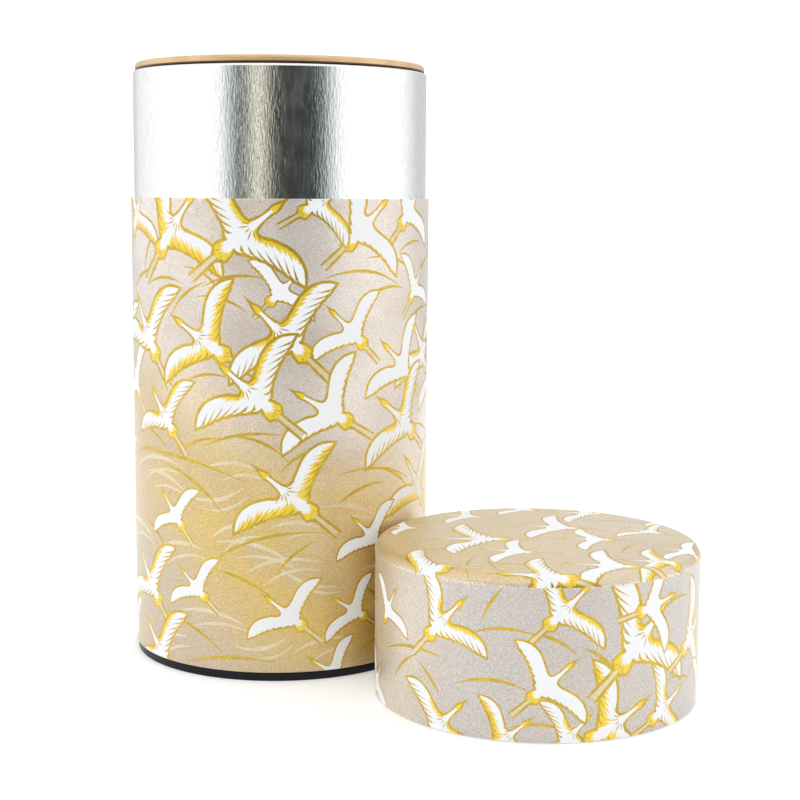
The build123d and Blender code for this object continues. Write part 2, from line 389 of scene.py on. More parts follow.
def drawn(flock, grass, clouds=()):
    """Every layer of one panel, from the bottom one up."""
    layers = []
    for x, y, heading, length, curl in clouds:
        layers += blade(x, y, heading, length, curl, 1.3, WASH)
        layers += blade(x + 3, y - 3, heading + 6, length * 0.8, curl, 0.9, WASH)
    for stalk in grass:
        layers += blade(*stalk, 0.95, INK)
    for x, y, heading, size, style, right, left in flock:
        layers += laid(crane(style, (right, left)), x, y, heading, size)
    return layers


def repeated(layers, low, high):
    """A panel's layers, repeated along X wherever a copy reaches between low and high."""
    first, last = int(low // PANEL), int(high // PANEL) + 1
    return [(colour, [(x + k * PANEL, y) for x, y in outline])
            for k in range(first, last + 1) for colour, outline in layers]


# ---- papers: the drawing cut by colour, then wrapped --------
SNAP, WELD = 1e-4, 2e-3  # points closer than this are one, in mm
STEP = 1.65  # width of the flat facets that make a curve
COLUMNS = 9  # a long strip is cut in this many parts, which is quicker
DISC_SIDES, SHOULDER_RINGS = 300, 8


def covered(spots, outline):
    """Which of the spots an anticlockwise outline winds round."""
    x, y = spots.T
    winding = np.zeros(len(spots), int)
    for (ax, ay), (bx, by) in zip(outline, outline[1:] + outline[:1]):
        side = (bx - ax) * (y - ay) - (x - ax) * (by - ay)
        winding += (ay <= y) & (by > y) & (side > 0)
        winding -= (ay > y) & (by <= y) & (side < 0)
    return winding > 0


def cut(layers, border, lines):
    """Cuts a sheet along every outline and line: its points, faces, colours and sources."""
    low, high = ([pick(p[axis] for p in border) for axis in (0, 1)] for pick in (min, max))
    shapes = [(GROUND, border)]
    for colour, outline in layers:
        reach = [(min(p[axis] for p in outline), max(p[axis] for p in outline)) for axis in (0, 1)]
        if all(reach[axis][0] < high[axis] and reach[axis][1] > low[axis] for axis in (0, 1)):
            shapes.append((colour, anticlockwise(outline)))
    points, edges = [], []
    for line in [outline + outline[:1] for _, outline in shapes] + lines:
        edges += [(k, k + 1) for k in range(len(points), len(points) + len(line) - 1)]
        points += line
    found = delaunay_2d_cdt([Vector(p) for p in points], edges, [], 0, SNAP, True)
    faces = np.array(found[2])
    middles = np.array(found[0])[faces].mean(axis=1)
    shades = np.full(len(faces), OUTSIDE)
    for colour, outline in shapes:
        corners = np.array(outline)
        boxed = (middles >= corners.min(axis=0)) & (middles <= corners.max(axis=0))
        near = boxed.all(axis=1).nonzero()[0]
        shades[near[covered(middles[near], outline)]] = colour
    shades[~covered(middles, border)] = OUTSIDE
    inside = (shades != OUTSIDE).nonzero()[0]
    return found[0], faces[inside].tolist(), shades[inside].tolist(), found[3]


def joined(tiles):
    """The tiles welded into one flat sheet: its points, its faces with their colours, its border."""
    flat = bmesh.new()
    for spots, faces, shades, _ in tiles:
        corners = [flat.verts.new((x, y, 0)) for x, y in spots]
        for face, shade in zip(faces, shades):
            flat.faces.new([corners[i] for i in face]).material_index = shade
    bmesh.ops.delete(flat, geom=[v for v in flat.verts if not v.link_faces], context="VERTS")
    bmesh.ops.remove_doubles(flat, verts=flat.verts, dist=WELD)
    flat.verts.index_update()
    after = {}
    for face in flat.faces:
        for loop in face.loops:
            if loop.edge.is_boundary:
                after[loop.vert.index] = loop.link_loop_next.vert.index
    border = [next(iter(after))]
    while after[border[-1]] != border[0]:
        border.append(after[border[-1]])
    if len(border) != len(after):
        raise ValueError("the sheet has a gap")
    points = [(v.co.x, v.co.y) for v in flat.verts]
    faces = [([v.index for v in f.verts], f.material_index) for f in flat.faces]
    flat.free()
    return points, faces, border


def printed_sheet(name, tiles, lines, place, materials):
    """A sheet of printed paper: the print on its face, plain paper behind, and cut edges between."""
    points, faces, border = joined(tiles)
    back, inner, _, sources = cut([], [points[i] for i in border], lines)
    base = len(points)
    spots = [(x, y, 0) for x, y in points] + [(x, y, PAPER) for x, y in back]
    out = [(place(x, y, 0) - place(x, y, 1)).normalized() for x, y, _ in spots]
    corners, shades, normals = [], [], []
    for face, shade in faces:
        corners.append(face)
        shades.append(shade)
        normals += [out[i] for i in face]
    for face in inner:
        corners.append([base + i for i in reversed(face)])
        shades.append(EDGE)
        normals += [-out[i] for i in corners[-1]]
    behind = {s: base + i for i, ids in enumerate(sources) for s in ids if s < len(border)}
    solid = [place(*spot) for spot in spots]
    for k, here in enumerate(border):
        there = border[(k + 1) % len(border)]
        corners.append([there, here, behind[k], behind[(k + 1) % len(border)]])
        shades.append(EDGE)
        normals += [(solid[here] - solid[there]).cross(out[here]).normalized() * -1] * 4
    mesh = bpy.data.meshes.new(name)
    mesh.from_pydata([p * MM for p in solid], [], corners)
    mesh.polygons.foreach_set("material_index", shades)
    mesh.polygons.foreach_set("use_smooth", [True] * len(corners))
    mesh.normals_split_custom_set(normals)
    return added(name, mesh, materials)


def added(name, mesh, materials):
    """A new object in the scene, for a mesh and its materials."""
    for material in materials:
        mesh.materials.append(material)
    piece = bpy.data.objects.new(name, mesh)
    bpy.context.collection.objects.link(piece)
    return piece


def moulded(name, shape, materials):
    """A new object for a bmesh, which it uses up."""
    mesh = bpy.data.meshes.new(name)
    shape.to_mesh(mesh)
    shape.free()
    return added(name, mesh, materials)


def glued_wrap(name, radius, centre, foot, top, panel, materials):
    """A printed strip wrapped round a tube, whose ends overlap in a glued lap that faces +Y."""
    length = 2 * pi * radius + LAP_W
    start = pi / 2 - LAP_W / 2 / radius
    first = -((FACING - start) % (2 * pi)) * radius
    width = length / COLUMNS
    facets = round(width / STEP)
    layers = repeated(panel, first, first + length)
    tiles, lines = [], []
    for column in range(COLUMNS):
        low = first + column * width
        shares = [low + width * k / facets for k in range(1, facets)]
        uprights = [[(x, foot), (x, top)] for x in shares]
        border = [(low, foot), (low + width, foot), (low + width, top), (low, top)]
        tiles.append(cut(layers, border, uprights))
        lines += uprights + [[(low + width, foot), (low + width, top)]]

    def place(x, y, depth):
        ramp = min(max((x - first - length + LAP_W) / LAP_RAMP + 1, 0), 1)
        reach = radius - depth + LAP_RISE * ramp * ramp * (3 - 2 * ramp)
        angle = FACING + x / radius
        return Vector((centre + reach * cos(angle), reach * sin(angle), y))

    return printed_sheet(name, tiles, lines[:-1], place, materials)


def capped_disc(name, panel, materials):
    """The printed disc on the lid, pressed down over the lid's rounded shoulder."""
    flat_r = LID_R - SHOULDER_R
    reach = flat_r + SHOULDER_R * acos((TOP_EDGE - LID_H + SHOULDER_R) / SHOULDER_R)

    def ring(radius):
        angles = [2 * pi * k / DISC_SIDES for k in range(DISC_SIDES)]
        return [(radius * cos(angle), radius * sin(angle)) for angle in angles]

    circles = [ring(flat_r + (reach - flat_r) * k / SHOULDER_RINGS) for k in range(SHOULDER_RINGS)]
    lines = [circle + circle[:1] for circle in circles]
    tiles = [cut(panel, ring(reach), lines)]

    def place(x, y, depth):
        away, angle = hypot(x, y), atan2(y, x) + radians(CAMERA_BEARING)
        tilt = max(away - flat_r, 0) / SHOULDER_R
        lift = EDGE_LIFT * max(tilt - 1.2, 0) / 0.28 * (1 + 0.5 * sin(41 * angle + 2 * sin(17 * angle)))
        out = min(away, flat_r) + (SHOULDER_R - depth + lift) * sin(tilt)
        height = LID_H - SHOULDER_R + (SHOULDER_R - depth) * cos(tilt)
        return Vector((LID_X + out * cos(angle), out * sin(angle), height))

    return printed_sheet(name, tiles, lines, place, materials)


# ---- tinplate: bent and turned profiles, spun about their axes --------
SIDES = 240  # facets round a turned piece
BEND_STEPS = 7  # facets in each bend
SHARP_ANGLE = 32  # degrees between faces that meet in a sharp edge
SEAM_STEPS, SEAM_EDGE = 12, 0.1  # facets across a lap seam, and the rounding of its edges


def rounded(points, bends):
    """A line of (radius, height) points with its inner corners rounded."""
    line = [points[0]]
    for before, corner, after, bend in zip(points, points[1:], points[2:], bends):
        first = Vector((corner[0] - before[0], corner[1] - before[1])).normalized()
        second = Vector((after[0] - corner[0], after[1] - corner[1])).normalized()
        turn = first.angle_signed(second)
        setback = bend * tan(abs(turn) / 2)
        start = Vector(corner) - first * setback
        centre = start + first.orthogonal() * (bend if turn < 0 else -bend)
        for k in range(BEND_STEPS + 1):
            spoke = Matrix.Rotation(-turn * k / BEND_STEPS, 2) @ (start - centre)
            line.append(tuple(centre + spoke))
    return line + [points[-1]]


def sheet_section(points, bends, thickness):
    """The two faces of bent sheet: a line, and its offset to the right of it."""
    if not isinstance(bends, tuple):
        bends = (bends,) * (len(points) - 2)
    line = rounded(points, bends)
    return line, shifted(line, thickness)


def upright(angle, points):
    """A section's (radius, height) points in mm, set at an angle round the axis, in metres."""
    return [(r * cos(angle) * MM, r * sin(angle) * MM, z * MM) for r, z in points]


def spun(name, near, far, materials, centre=0.0):
    """Spins a section about the vertical axis; its two faces can have a material each."""
    outline = near + far[::-1]
    shape = bmesh.new()
    columns = []
    for side in range(SIDES):
        columns.append([shape.verts.new(spot) for spot in upright(2 * pi * side / SIDES, outline)])
    for side, column in enumerate(columns):
        beside = columns[(side + 1) % SIDES]
        for k in range(len(outline)):
            after = (k + 1) % len(outline)
            if outline[k][0] < SNAP and outline[after][0] < SNAP:
                continue
            face = shape.faces.new((column[k], column[after], beside[after], beside[k]))
            face.smooth = True
            face.material_index = int(k >= len(near) - 1 and len(materials) > 1)
    bmesh.ops.remove_doubles(shape, verts=shape.verts, dist=SNAP * MM)
    bmesh.ops.recalc_face_normals(shape, faces=shape.faces)
    shape.transform(Matrix.Translation((centre * MM, 0, 0)))
    piece = moulded(name, shape, materials)
    piece.data.set_sharp_from_angle(angle=radians(SHARP_ANGLE))
    return piece


def lap_seam(name, inner, outer, low, high, material):
    """The raised lap of a tinplate tube's seam, seen inside the tube, with rounded edges."""
    half = SEAM_W / 2 / inner
    corners = [(inner, low), (inner, high), (outer, high), (outer, low)]
    shape = bmesh.new()
    rows = []
    for k in range(SEAM_STEPS + 1):
        angle = pi / 2 - half + 2 * half * k / SEAM_STEPS
        rows.append([shape.verts.new(spot) for spot in upright(angle, corners)])
    for row, after in zip(rows, rows[1:]):
        for k in range(4):
            shape.faces.new((row[k], row[(k + 1) % 4], after[(k + 1) % 4], after[k]))
    shape.faces.new(rows[0])
    shape.faces.new(rows[-1])
    bmesh.ops.recalc_face_normals(shape, faces=shape.faces)
    sharp = [e for e in shape.edges if e.calc_face_angle() > 1]
    bmesh.ops.bevel(shape, geom=sharp, offset=SEAM_EDGE * MM, segments=3, profile=0.5, affect="EDGES")
    for face in shape.faces:
        face.smooth = True
    return moulded(name, shape, [material])


# ---- materials --------------------------------------------
def node(tree, kind, inputs, output=0, **settings):
    """Adds a shader node, with its inputs linked or set, and returns one of its outputs."""
    made = tree.nodes.new("ShaderNode" + kind)
    for key, value in settings.items():
        setattr(made, key, value)
    for key, value in inputs.items():
        if isinstance(value, bpy.types.NodeSocket):
            tree.links.new(value, made.inputs[key])
        else:
            made.inputs[key].default_value = value
    return made.outputs[output]


def blank(name, **sockets):
    """A material with a Principled shader; sockets are set by name, with _ for a space."""
    material = bpy.data.materials.new(name)
    material.use_nodes = True
    shader = material.node_tree.nodes["Principled BSDF"]
    for key, value in sockets.items():
        shader.inputs[key.replace("_", " ")].default_value = value
    return material, material.node_tree


def spot_on(tree):
    """Texture coordinates on the object, in metres."""
    return node(tree, "TexCoord", {}, "Object")


def noise(tree, stretch, detail=2, rough=0.5, warp=0, output=0):
    """Noise whose features are about 1 / stretch metres along each axis."""
    stretch = stretch if isinstance(stretch, tuple) else (stretch,) * 3
    where = node(tree, "Mapping", {"Vector": spot_on(tree), "Scale": stretch})
    return node(tree, "TexNoise", {"Vector": where, "Scale": 1.0, "Detail": detail, "Roughness": rough,
                                   "Distortion": warp}, output)


def mapped(tree, value, low, high, to_low=0.0, to_high=1.0):
    """A value's range moved to another, clamped and eased at both ends."""
    return node(tree, "MapRange", {"Value": value, "From Min": low, "From Max": high, "To Min": to_low,
                                   "To Max": to_high}, interpolation_type="SMOOTHSTEP")


def worked(tree, operation, a, b):
    """One step of arithmetic."""
    return node(tree, "Math", {0: a, 1: b}, operation=operation)


def blended(tree, share, a, b, how="MIX"):
    """Two colours mixed by a share."""
    return node(tree, "Mix", {"Factor": share, 6: a, 7: b}, 2, data_type="RGBA", blend_type=how)


def product(tree, first, *others):
    """Values multiplied together."""
    for other in others:
        first = worked(tree, "MULTIPLY", first, other)
    return first


def scaled(tree, colour, level):
    """A colour made paler or darker by a level."""
    return node(tree, "VectorMath", {0: colour, "Scale": level}, operation="SCALE")


def bump(tree, height, strength, depth):
    """Relief from a height between 0 and 1; the depth is in metres."""
    return node(tree, "Bump", {"Strength": strength, "Distance": depth, "Height": height})


def wired(material, **sockets):
    """Links values to the sockets of a material's shader, and returns the material."""
    tree = material.node_tree
    for key, value in sockets.items():
        tree.links.new(value, tree.nodes["Principled BSDF"].inputs[key.replace("_", " ")])
    return material


def grey(level):
    """A neutral colour."""
    return (level, level, level, 1)


def height_of(tree):
    """The height above the table, in metres."""
    return node(tree, "SeparateXYZ", {0: spot_on(tree)}, 2)


def across(tree, centre=0.0):
    """How far to the right of the printed panel's middle a point lies, in metres."""
    right = (-sin(FACING), cos(FACING), 0)
    reach = node(tree, "VectorMath", {0: spot_on(tree), 1: right}, 1, operation="DOT_PRODUCT")
    return worked(tree, "SUBTRACT", reach, centre * MM * right[0])


FIBRE_DEPTH, GRAIN_DEPTH, LACQUER_DEPTH = 0.00008, 0.0001, 0.00004  # relief in metres


def fibre_bump(tree, strength):
    """The relief of washi: short fine fibres that lie every way, over a soft unevenness."""
    one = noise(tree, (2600, 2600, 700), 3, 0.6, 1.2)
    other = noise(tree, (700, 700, 2800), 3, 0.6, 1.2)
    soft = noise(tree, 420)
    height = worked(tree, "ADD", worked(tree, "MAXIMUM", one, other), product(tree, soft, 0.8))
    return bump(tree, height, strength, FIBRE_DEPTH)


PEARL = {"Coat_Weight": 0.6, "Coat_IOR": 1.6, "Coat_Roughness": 0.33, "Roughness": 0.38}
# each ground: two print tones, then a third, deeper tone that is painted shade
WARM_GREIGE = (0.86, 0.785, 0.73, 1), (0.685, 0.597, 0.505, 1), (0.58, 0.49, 0.40, 1)
COOL_GREIGE = (0.77, 0.715, 0.67, 1), (0.67, 0.615, 0.565, 1), (0.615, 0.567, 0.53, 1)
PINK_GREIGE = (0.775, 0.69, 0.63, 1), (0.68, 0.59, 0.505, 1), (0.66, 0.56, 0.46, 1)
GOLD_TAN, RUBBED_PAPER = (0.75, 0.525, 0.135, 1), (0.97, 0.88, 0.66, 1)
RUBBED_H = 0.6  # how far from its edge the paper is rubbed, in mm


def speckled(tree, colour, depth):
    """A printed colour broken into fine grains that are darker, paler, pinker or yellower."""
    grain = noise(tree, 4200, 2, 0.7)
    tint = noise(tree, 2900, 1, 0.5, 0, 1)
    level = mapped(tree, grain, 0.3, 0.7, 1 - depth, 1 + depth * 0.6)
    return scaled(tree, blended(tree, depth, colour, tint, "OVERLAY"), level)


def rubbed(tree, colour, edge):
    """Pale flecks where the paper is rubbed, close to its cut edge."""
    height = height_of(tree)
    below = mapped(tree, height, (edge - RUBBED_H) * MM, edge * MM)
    above = mapped(tree, height, edge * MM, (edge + RUBBED_H) * MM, 1, 0)
    flecks = mapped(tree, noise(tree, (1700, 1700, 1100), 3, 0.75), 0.47, 0.62)
    return blended(tree, product(tree, below, above, flecks), colour, RUBBED_PAPER)


def veined(tree, colour):
    """Faint darker threads that run through the ground like the lines on a map."""
    drift = noise(tree, 46, 2, 0.5, 0.8)
    apart = worked(tree, "PINGPONG", product(tree, drift, 13.0), 0.5)
    return scaled(tree, colour, mapped(tree, apart, 0.0, 0.07, 0.93, 1))


def ground_print(name, tones, painted_shade_share, gold_share, edge):
    """Pearly ink that fills the ground: two tones in soft patches, a deeper tone laid on as painted shade,
    and clouds of gold.
    """
    material, tree = blank(name, Metallic=0.62, **PEARL)
    mottle = mapped(tree, noise(tree, (26, 26, 34), 2, 0.5, 0.4), 0.3, 0.7)
    # painted shade: the third tone darkens the ground where the given shade share is high
    clear = blended(tree, painted_shade_share(tree), blended(tree, mottle, *tones[:2]), tones[2])
    ground = blended(tree, gold_share(tree), clear, GOLD_TAN)
    colour = speckled(tree, veined(tree, ground), 0.37)
    return wired(material, Base_Color=rubbed(tree, colour, edge), Normal=fibre_bump(tree, 0.5))


def printed(name, colour, other, depth, relief, **sockets):
    """One printed colour: two tones in soft patches, grainy, over the paper's relief."""
    material, tree = blank(name, **sockets)
    patches = mapped(tree, noise(tree, 330, 3, 0.6), 0.3, 0.7)
    tones = blended(tree, patches, colour, other)
    return wired(material, Base_Color=speckled(tree, tones, depth), Normal=fibre_bump(tree, relief))


def brushed_tin(name, stretch):
    """Tinplate with the short grain of its rolling; the stretch is greater across the grain."""
    material, tree = blank(name, Metallic=1.0)
    streaks = noise(tree, stretch, 2, 0.55, 0.4)
    broad = noise(tree, tuple(s * 0.35 for s in stretch), 1, 0.5)
    toned = scaled(tree, (0.90, 0.91, 0.91), mapped(tree, streaks, 0.3, 0.7, 0.86, 1.0))
    return wired(material, Base_Color=toned, Roughness=mapped(tree, broad, 0.3, 0.7, 0.136, 0.192),
                 Normal=bump(tree, streaks, 0.5, GRAIN_DEPTH))


def gold_lacquer():
    """Transparent gold lacquer over tinplate, with painted shade: a dark band along the rim's foot for the
    shadow gap over the collar's bead.
    """
    material, tree = blank("gold_lacquer", Metallic=0.9, Coat_Weight=0.3, Coat_Roughness=0.3)
    grain = noise(tree, 900, 3, 0.6)
    patches = mapped(tree, noise(tree, 120), 0.3, 0.7)
    clean = blended(tree, patches, (0.66, 0.45, 0.235, 1), (0.74, 0.53, 0.30, 1))
    height = height_of(tree)
    # painted shade: the dark band at the rim's foot, also at the same height on the plug wall, stands for the
    # shadow gap where the rim meets the bead
    below = mapped(tree, height, (SLEEVE_TOP - 0.4) * MM, SLEEVE_TOP * MM)
    above = mapped(tree, height, (SLEEVE_TOP + 0.5) * MM, (SLEEVE_TOP + 0.8) * MM, 1, 0)
    colour = blended(tree, product(tree, below, above), clean, (0.09, 0.045, 0.02, 1))
    return wired(material, Base_Color=colour, Roughness=mapped(tree, grain, 0.3, 0.7, 0.42, 0.55),
                 Normal=bump(tree, grain, 0.2, LACQUER_DEPTH))


def black_lacquer():
    """Baked black lacquer on the base, a little uneven, with fine dust-like specks."""
    material, tree = blank("black_lacquer", Specular_IOR_Level=0.22)
    specks = mapped(tree, noise(tree, 2600, 2, 0.6), 0.62, 0.75)
    colour = blended(tree, specks, (0.004, 0.005, 0.007, 1), (0.02, 0.022, 0.026, 1))
    orange_peel = noise(tree, 700)
    return wired(material, Base_Color=colour, Roughness=mapped(tree, orange_peel, 0.3, 0.7, 0.3, 0.45),
                 Normal=bump(tree, orange_peel, 0.15, LACQUER_DEPTH))


def turned_metal(name, colour, roughness):
    """Metal turned on a lathe, with fine rings round its axis."""
    material, tree = blank(name, Metallic=1.0)
    rings = noise(tree, (400, 400, 9000), 3, 0.6)
    toned = scaled(tree, colour, mapped(tree, rings, 0.3, 0.7, 0.85, 1.0))
    rough = mapped(tree, rings, 0.3, 0.7, roughness, roughness * 1.6)
    return wired(material, Base_Color=toned, Roughness=rough,
                 Normal=bump(tree, rings, 0.25, LACQUER_DEPTH))


def body_painted_shade(tree):
    """Painted shade: the deeper tone low down on the left of the body, where the light falls off towards the
    table.
    """
    return mapped(tree, worked(tree, "ADD", height_of(tree), across(tree)), 0.04, 0.06, 1, 0)


def side_painted_shade(tree):
    """Painted shade: the deeper tone over all of the lid's side but its left edge."""
    return mapped(tree, across(tree, LID_X), -0.044, -0.028)


def top_painted_shade(tree):
    """Painted shade: the deeper tone on the left of the lid's top."""
    return mapped(tree, across(tree, LID_X), -0.046, 0.0, 0.6, 0)


def body_gold(tree):
    """Clouds of gold across the lower half of the body, higher to the left but not in the low corner."""
    height, right = height_of(tree), across(tree)
    drift = noise(tree, (22, 22, 30))
    rise = worked(tree, "ADD", height, product(tree, drift, 0.05))
    rise = worked(tree, "ADD", rise, product(tree, right, 0.4))
    above = mapped(tree, rise, 0.068, 0.115, 1, 0)
    below = mapped(tree, rise, 0.026, 0.055, 0.5, 1)
    cloud = mapped(tree, noise(tree, (24, 24, 40), 3, 0.55, 0.8), 0.3, 0.6, 0.4, 0.92)
    corner = worked(tree, "ADD", right, product(tree, height, 0.5))
    return product(tree, above, below, cloud, mapped(tree, corner, -0.022, 0.008, 0.4, 1))


def side_gold(tree):
    """Gold on the lid's side that fades out to the right, and a little in drifts."""
    drift = mapped(tree, noise(tree, 20), 0.45, 0.75, 0, 0.08)
    return worked(tree, "MAXIMUM", drift, mapped(tree, across(tree, LID_X), -0.046, -0.022, 0.22, 0))


def top_gold(tree):
    """A soft gold over the lid's top, which pales to the right, and pales down the shoulder as a painted
    highlight.
    """
    drift = mapped(tree, noise(tree, 40, 3, 0.6, 0.8), 0.25, 0.75, 0.45, 0.85)
    paling = mapped(tree, across(tree, LID_X), -0.03, 0.046, 1, 0.5)
    # painted highlight: less gold towards the shoulder's edge, so the pale ground shows where light would
    # catch the shoulder
    rim = mapped(tree, height_of(tree), TOP_EDGE * MM, (LID_H - 0.5) * MM, 0.35, 1)
    return product(tree, drift, paling, rim)


OCHRE = printed("ochre_ink", (0.54, 0.35, 0.012, 1), (0.68, 0.47, 0.022, 1), 0.25, 0.5,
                Metallic=0.85, **PEARL)
BRIGHT_YELLOW = printed("yellow_ink", (0.87, 0.60, 0.012, 1), (0.91, 0.68, 0.04, 1), 0.14, 0.4,
                        Metallic=0.25, **PEARL)
BIRD_WHITE = printed("white_ink", (0.86, 0.88, 0.91, 1), (0.89, 0.90, 0.92, 1), 0.03, 0.3, Roughness=0.6)
PALE_WASH = printed("pale_wash", (0.74, 0.62, 0.38, 1), (0.78, 0.68, 0.47, 1), 0.25, 0.5,
                    Metallic=0.4, **PEARL)
BARE_PAPER = printed("bare_paper", (0.82, 0.80, 0.74, 1), (0.74, 0.71, 0.64, 1), 0.1, 0.8, Roughness=0.9)
UPRIGHT_TIN = brushed_tin("tinplate_upright", (2100, 2100, 420))
CROSS_TIN = brushed_tin("tinplate_flat", (2100, 420, 2100))
GOLD, BLACK = gold_lacquer(), black_lacquer()


# ---- the pieces -------------------------------------------
def settle(piece, body, slot, *nodes):
    """Says which body a piece rides on, and hides the CAD nodes it stands for; the slot, the finish it takes,
    is not used.
    """
    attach(piece, body)
    if nodes:
        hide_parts(*nodes)


def collar_sleeve():
    """The inner tube: collar, curled bead at the mouth, and the bore with its lap seam."""
    mouth, under = SLEEVE_R - BEAD_D, SLEEVE_TOP - BEAD_D
    path = [(mouth + BEAD_D / 2, under), (mouth, under), (mouth, SLEEVE_TOP), (SLEEVE_R, SLEEVE_TOP)]
    path.append((SLEEVE_R, SLEEVE_FOOT))
    section = sheet_section(path, BEAD_D / 2 - PLY, TIN)
    settle(spun("collar_sleeve", *section, [UPRIGHT_TIN]), "tin", "tinplate", "inner_sleeve")
    bore = SLEEVE_R - TIN
    seam = lap_seam("sleeve_seam", bore - TIN, bore + TIN / 2, SLEEVE_FOOT + 0.5, under - TIN, UPRIGHT_TIN)
    settle(seam, "tin", "tinplate")


def body_wall():
    """The outer tube, with its rolled upper edge, necked foot and seam hook."""
    wall = FOOT_R - 3 * FOLD_PITCH
    hook = wall + 2 * FOLD_PITCH - TIN
    turn = TIN + FOLD_PITCH
    hem = 2 * TIN + PLY
    path = [(TUBE_R - hem, BODY_TOP - HEM_H), (TUBE_R - hem, BODY_TOP), (TUBE_R, BODY_TOP)]
    path += [(TUBE_R, NECK_TOP), (wall, NECK_END), (wall, turn), (hook, turn)]
    path.append((hook, FOOT_H - 2 * FOLD_PITCH))
    half = (hook - wall) / 2 - PLY / 2
    section = sheet_section(path, ((hem - PLY) / 2,) * 2 + (half,) * 4, TIN)
    settle(spun("body_wall", *section, [UPRIGHT_TIN]), "tin", "tinplate_body", "body_tube")


def ring_step(radii, floor, rise):
    """A raised ring in a flat panel, from its outer edge inward."""
    lifts = (0, rise, rise, 0)
    return [(radius, floor + lift) for radius, lift in zip(radii[::-1], lifts)]


def base():
    """The black base, plain tin inside: panel, expansion ring, countersink and double seam."""
    chuck, hook = FOOT_R - 4 * FOLD_PITCH - TIN, FOOT_R - 2 * FOLD_PITCH - TIN
    bend = (FOOT_R - hook) / 2 - PLY / 2
    path = [(hook, 3 * TIN), (hook, FOOT_H), (FOOT_R, FOOT_H), (FOOT_R, 0), (chuck, 0), (chuck, PANEL_Z)]
    path += ring_step(BASE_RING, PANEL_Z, BASE_RING_H) + [(0, PANEL_Z)]
    section = sheet_section(path, bend, TIN)
    settle(spun("base", *section, [BLACK, CROSS_TIN]), "tin", "black_lacquer", "base_plate")


def inner_lid():
    """The gold inner lid's pan, its turned knob, and the washer and rivet that hold the knob."""
    wall, foot = RIM_R - 1.6, span("inner_lid_pan", 2)[0] + TIN
    low = SLEEVE_TOP + 0.1
    path = [(RIM_R - 0.6, low), (RIM_R, low), (RIM_R, RIM_TOP), (wall, RIM_TOP), (wall, foot)]
    path += ring_step(PAN_RING, foot, PAN_RING_H) + [(HOLE_R, foot)]
    section = sheet_section(path, (0.4, RIM_BEND) + (0.5,) * 6, -TIN)
    settle(spun("inner_lid_dish", *section, [GOLD]), "inner_lid", "gold_lacquer", "inner_lid_pan")
    stem, head = KNOB_R * 0.42, KNOB_TOP - 3.2
    outline = [(0, PAN_FLOOR), (WASHER_R, PAN_FLOOR), (WASHER_R, PAN_FLOOR + 1), (stem, PAN_FLOOR + 2.6)]
    outline += [(stem, PAN_FLOOR + 5.4), (KNOB_R, head), (KNOB_R, KNOB_TOP - 0.8), (0, KNOB_TOP)]
    knob = rounded(outline, (0.15, 0.3, 1.5, 2.5, 0.6, 0.8))
    brass = turned_metal("turned_brass", (0.83, 0.62, 0.32), 0.18)
    settle(spun("lid_knob", knob, [], [brass]), "inner_lid", "turned_knob", "inner_lid_knob")
    low, high = span("knob_washer", 2)
    ring = [(HOLE_R, low), (WASHER_R, low), (WASHER_R, high), (HOLE_R, high), (HOLE_R, low + 0.2)]
    steel = turned_metal("washer_steel", (0.72, 0.72, 0.71), 0.25)
    flat = rounded(ring, (0.1, 0.1, 0.05))
    settle(spun("washer", flat, [], [steel]), "inner_lid", "tinplate_small", "knob_washer")
    low, high = span("knob_rivet", 2)
    head_r, seat = 2 * HOLE_R, span("knob_washer", 2)[0] - PLY
    dome = [(0, low), (head_r * 0.75, low), (head_r, seat - 0.15), (head_r, seat)]
    dome += [(SHANK_R, seat), (SHANK_R, high), (0, high)]
    aluminium = turned_metal("rivet_aluminium", (0.80, 0.80, 0.81), 0.3)
    head = rounded(dome, (0.9, 0.05, 0.05, 0.05, 0.3))
    settle(spun("rivet", head, [], [aluminium]), "inner_lid", "rivet_metal", "knob_rivet")


def outer_lid():
    """The outer lid's band, curled at the mouth, and its pressed top with the skirt over the band."""
    tuck = BAND_R - TIN - 2 * PLY
    path = [(BAND_R - CURL_D * 0.55, CURL_D), (BAND_R - CURL_D, CURL_D), (BAND_R - CURL_D, 0), (BAND_R, 0)]
    path += [(BAND_R, JOGGLE_Z), (tuck, JOGGLE_Z + JOGGLE_H), (tuck, TOP_EDGE - 0.5)]
    section = sheet_section(path, (0.4, 0.48, 0.48, 0.4, 0.4), -TIN)
    settle(spun("band", *section, [UPRIGHT_TIN], LID_X), "outer_lid", "tinplate_lid", "lid_band")
    top = LID_H - PAPER - PLY
    path = [(BAND_R, JOGGLE_Z + JOGGLE_H + 0.1), (BAND_R, top), (0, top)]
    section = sheet_section(path, SHOULDER_R - PAPER - PLY, -TIN)
    settle(spun("top_plate", *section, [CROSS_TIN], LID_X), "outer_lid", "tinplate_top", "lid_top_plate")


def papers():
    """The three printed papers: round the body, round the lid, and over the lid's top."""
    colours = [OCHRE, BRIGHT_YELLOW, BIRD_WHITE, PALE_WASH, BARE_PAPER]
    panel = drawn(BODY_FLOCK, BODY_GRASS, BODY_CLOUDS)
    ground = ground_print("body_ground", WARM_GREIGE, body_painted_shade, body_gold, BODY_TOP)
    body = glued_wrap("washi_body", BODY_R, 0, BODY_FOOT, BODY_TOP, panel, [ground] + colours)
    settle(body, "tin", "washi_body", "body_paper")
    panel = drawn(LID_FLOCK, LID_GRASS)
    ground = ground_print("side_ground", COOL_GREIGE, side_painted_shade, side_gold, LID_EDGE)
    side = glued_wrap("washi_side", LID_R, LID_X, LID_FOOT, LID_EDGE, panel, [ground] + colours)
    settle(side, "outer_lid", "washi_side", "lid_side_paper")
    ground = ground_print("top_ground", PINK_GREIGE, top_painted_shade, top_gold, TOP_EDGE)
    cap = capped_disc("washi_top", drawn(TOP_FLOCK, TOP_GRASS), [ground] + colours)
    settle(cap, "outer_lid", "washi_top", "lid_top_paper")


